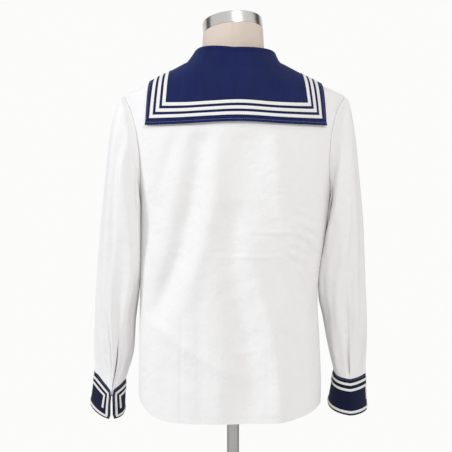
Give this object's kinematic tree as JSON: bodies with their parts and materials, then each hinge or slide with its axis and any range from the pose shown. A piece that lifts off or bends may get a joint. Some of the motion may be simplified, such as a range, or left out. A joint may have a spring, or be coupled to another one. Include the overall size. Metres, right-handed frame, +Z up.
{
  "type": "sailor jumper on a dress form",
  "caption": "Long-sleeved sailor jumper with a square-backed navy collar and navy cuffs edged in white tape, on a limbless dress form with steel neck ring, pole and round base.",
  "frame": {"origin": "centre of the stand's underside, on the pole's axis, on the floor", "axes": "+Z up along the pole, +X to the wearer's right, +Y to the wearer's front, so the jumper's back faces -Y"},
  "size_m": [0.585, 0.36, 1.4102],
  "materials": {
    "white_twill": "soft fine white twill, matt, with soft hanging folds",
    "navy_twill": "navy twill, matt, with pale top stitching",
    "white_tape": "flat woven tape, slightly glossy",
    "form_jersey": "beige jersey drawn tight over the form, with a seam down the back of the neck",
    "neck_steel": "steel brushed round the ring",
    "stand_steel": "satin steel pole and base"
  },
  "bodies": {
    "root": {"base_disc": "stand_steel", "pole": "stand_steel", "form_torso": "form_jersey", "neck_cap": "neck_steel", "back_panel": "white_twill", "front_panel": "white_twill", "sailor_collar": "navy_twill", "collar_tape_outer": "white_tape", "collar_tape_middle": "white_tape", "collar_tape_inner": "white_tape", "sleeve_left": "white_twill", "sleeve_right": "white_twill", "cuff_left": "navy_twill", "cuff_left_tape_outer": "white_tape", "cuff_left_tape_inner": "white_tape", "cuff_right": "navy_twill", "cuff_right_tape_outer": "white_tape", "cuff_right_tape_inner": "white_tape"}
  },
  "joints": []
}
